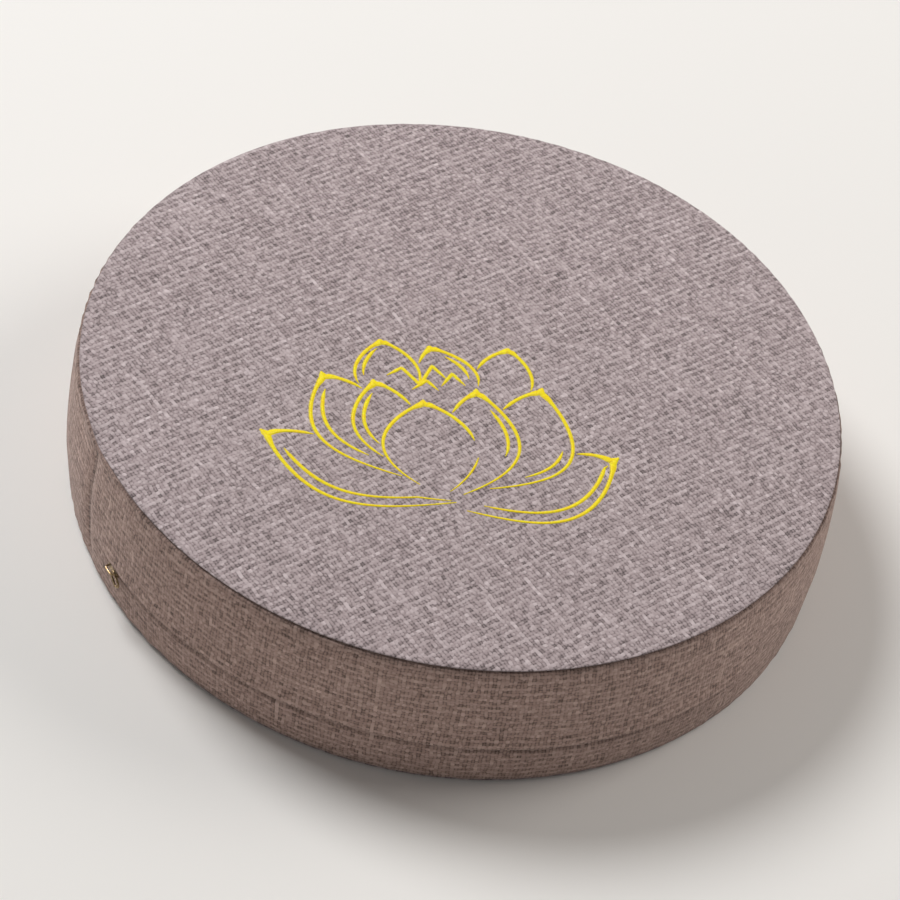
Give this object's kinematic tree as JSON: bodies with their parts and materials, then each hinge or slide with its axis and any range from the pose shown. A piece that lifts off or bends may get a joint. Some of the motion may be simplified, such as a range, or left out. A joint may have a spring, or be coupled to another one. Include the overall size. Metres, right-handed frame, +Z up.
{
  "type": "round meditation cushion",
  "caption": "Low round boxed floor cushion in greige linen-look cloth, with a gold line-embroidered lotus on top and a concealed zip low on its band.",
  "frame": {"origin": "centre of the flat underside, where the cushion rests on the floor", "axes": "+Z up through the crown, +Y to the back, which is the way the lotus points, and the zip runs low along the front at -Y"},
  "size_m": [0.4073, 0.4062, 0.0907],
  "materials": {
    "cover_cloth": "matt linen-look plain weave with slubs",
    "embroidery_thread": "gold rayon satin stitch with a soft sheen",
    "zip_brass": "plain, slightly dulled"
  },
  "bodies": {
    "root": {"cushion": "cover_cloth", "zip_slider": "zip_brass", "zip_pull": "zip_brass"}
  },
  "joints": []
}
